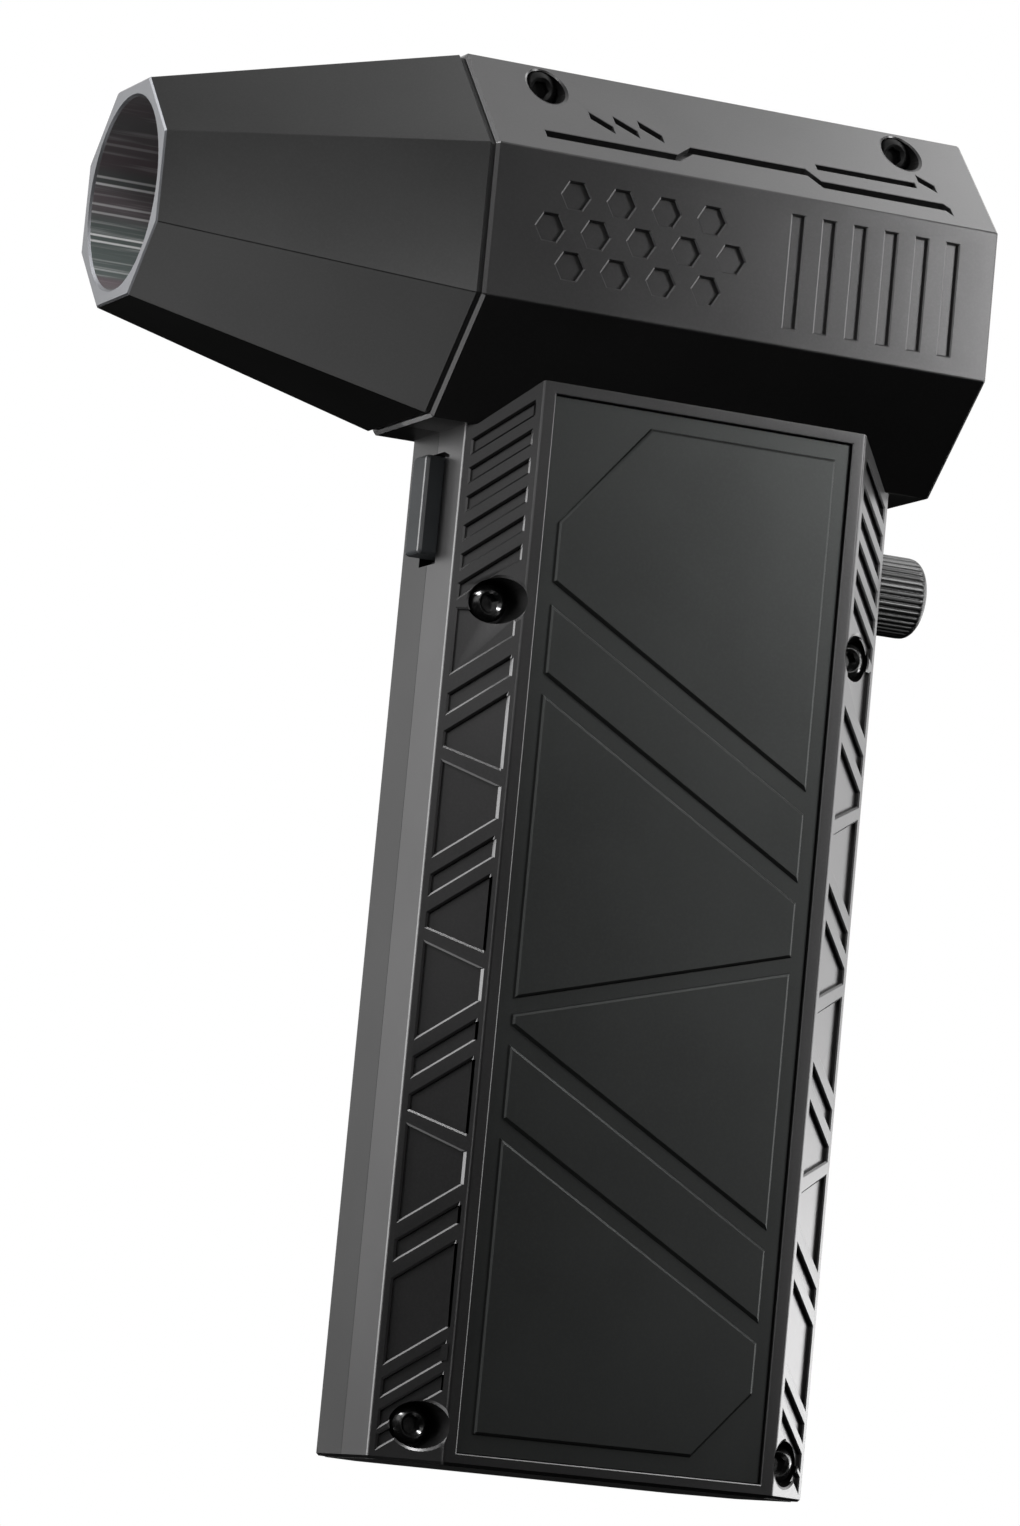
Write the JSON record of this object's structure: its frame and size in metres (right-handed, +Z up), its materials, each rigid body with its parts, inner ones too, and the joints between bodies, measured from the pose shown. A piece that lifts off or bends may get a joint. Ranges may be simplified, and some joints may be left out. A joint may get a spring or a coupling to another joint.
{
  "type": "handheld jet dryer",
  "caption": "Pistol-shaped hand-held jet blower for drying: octagonal fan head with a tapered nozzle, chamfered battery grip, press trigger and knurled speed knob.",
  "frame": {"origin": "on the surface the foot stands on, under the middle of the overall length and on the seam between the case halves", "axes": "+Z up along the grip, -X the way the air blows, +Y to the right of the user who points it away"},
  "size_m": [0.1072, 0.044, 0.1664],
  "materials": {
    "case_coat": "fine matt soft-touch coat, dark grey",
    "panel_coat": "matt inlay, near black with a cold tint",
    "nozzle_coat": "fine matt coat, dark grey",
    "bore_metal": "turned and lightly polished",
    "seal": "soft black rubber",
    "dark_screw": "blackened steel",
    "bright_screw": "plain steel",
    "inner_plastic": "plain moulded",
    "bright_metal": "machined",
    "core_steel": "stacked sheet steel",
    "copper": "enamelled copper wire",
    "race_steel": "ground",
    "magnet": "sintered and plated",
    "trigger_plastic": "satin",
    "spring_steel": "drawn wire",
    "plunger_plastic": "glossy red",
    "switch_plastic": "moulded",
    "board": "green lacquered circuit board",
    "knob_metal": "anodised grey, knurled",
    "pot_body": "moulded, blue",
    "cell_sleeve": "shrink sleeve over a steel can",
    "cell_tab": "nickel strip",
    "port_metal": "drawn shell",
    "lamp_plastic": "frosted clear",
    "chip_plastic": "moulded",
    "wire_black": "insulated wire",
    "wire_red": "insulated wire",
    "wire_white": "insulated wire"
  },
  "bodies": {
    "casing": {"left_shell": "case_coat", "right_shell": "case_coat", "left_side_panel": "panel_coat", "right_side_panel": "panel_coat", "nozzle": "nozzle_coat", "nozzle_liner": "bore_metal", "nozzle_gasket": "seal", "rear_cap": "case_coat", "intake_grille": "inner_plastic", "rear_cap_screws": "bright_screw", "case_screws": "dark_screw", "foot_pad": "seal", "fan_duct": "inner_plastic", "duct_damper_rings": "seal", "tail_cone": "inner_plastic", "motor_can": "bright_metal", "motor_end_cap": "bright_metal", "motor_screws": "bright_screw", "stator_core": "core_steel", "stator_windings": "copper", "front_bearing": "race_steel", "rear_bearing": "race_steel", "trigger_spring": "spring_steel", "trigger_switch": "switch_plastic", "trigger_board": "board", "speed_potentiometer": "pot_body", "potentiometer_nut": "bright_screw", "battery_cell_front": "cell_sleeve", "battery_cell_rear": "cell_sleeve", "upper_cell_holder": "inner_plastic", "lower_cell_holder": "inner_plastic", "cell_links": "cell_tab", "charge_board": "board", "charge_port": "port_metal", "battery_light_pipe": "lamp_plastic", "driver_board": "board", "driver_parts": "chip_plastic", "board_screws": "bright_screw", "motor_wires": "wire_black", "battery_leads": "wire_red", "signal_leads": "wire_white"},
    "trigger": {"trigger_button": "trigger_plastic", "switch_plunger": "plunger_plastic"},
    "speed_dial": {"speed_knob": "knob_metal", "knob_set_screw": "dark_screw", "potentiometer_shaft": "race_steel"},
    "rotor": {"impeller": "bright_metal", "spinner": "bright_metal", "motor_shaft": "race_steel", "rotor_magnet": "magnet"}
  },
  "joints": [
    {"name": "trigger_press", "type": "slide", "parent": "casing", "child": "trigger", "axis": [1, 0, 0], "range_m": [0, 0.0015], "stiffness_N_per_m": 400, "springref_m": -0.002, "deforming": ["trigger_spring"]},
    {"name": "knob_turn", "type": "hinge", "parent": "casing", "child": "speed_dial", "pos_m": [0.04875, 0, 0.1114], "axis": [1, 0, 0], "range_deg": [0, 280]},
    {"name": "rotor_spin", "type": "hinge", "parent": "casing", "child": "rotor", "pos_m": [0.03175, 0, 0.1444], "axis": [1, 0, 0], "continuous": true}
  ]
}
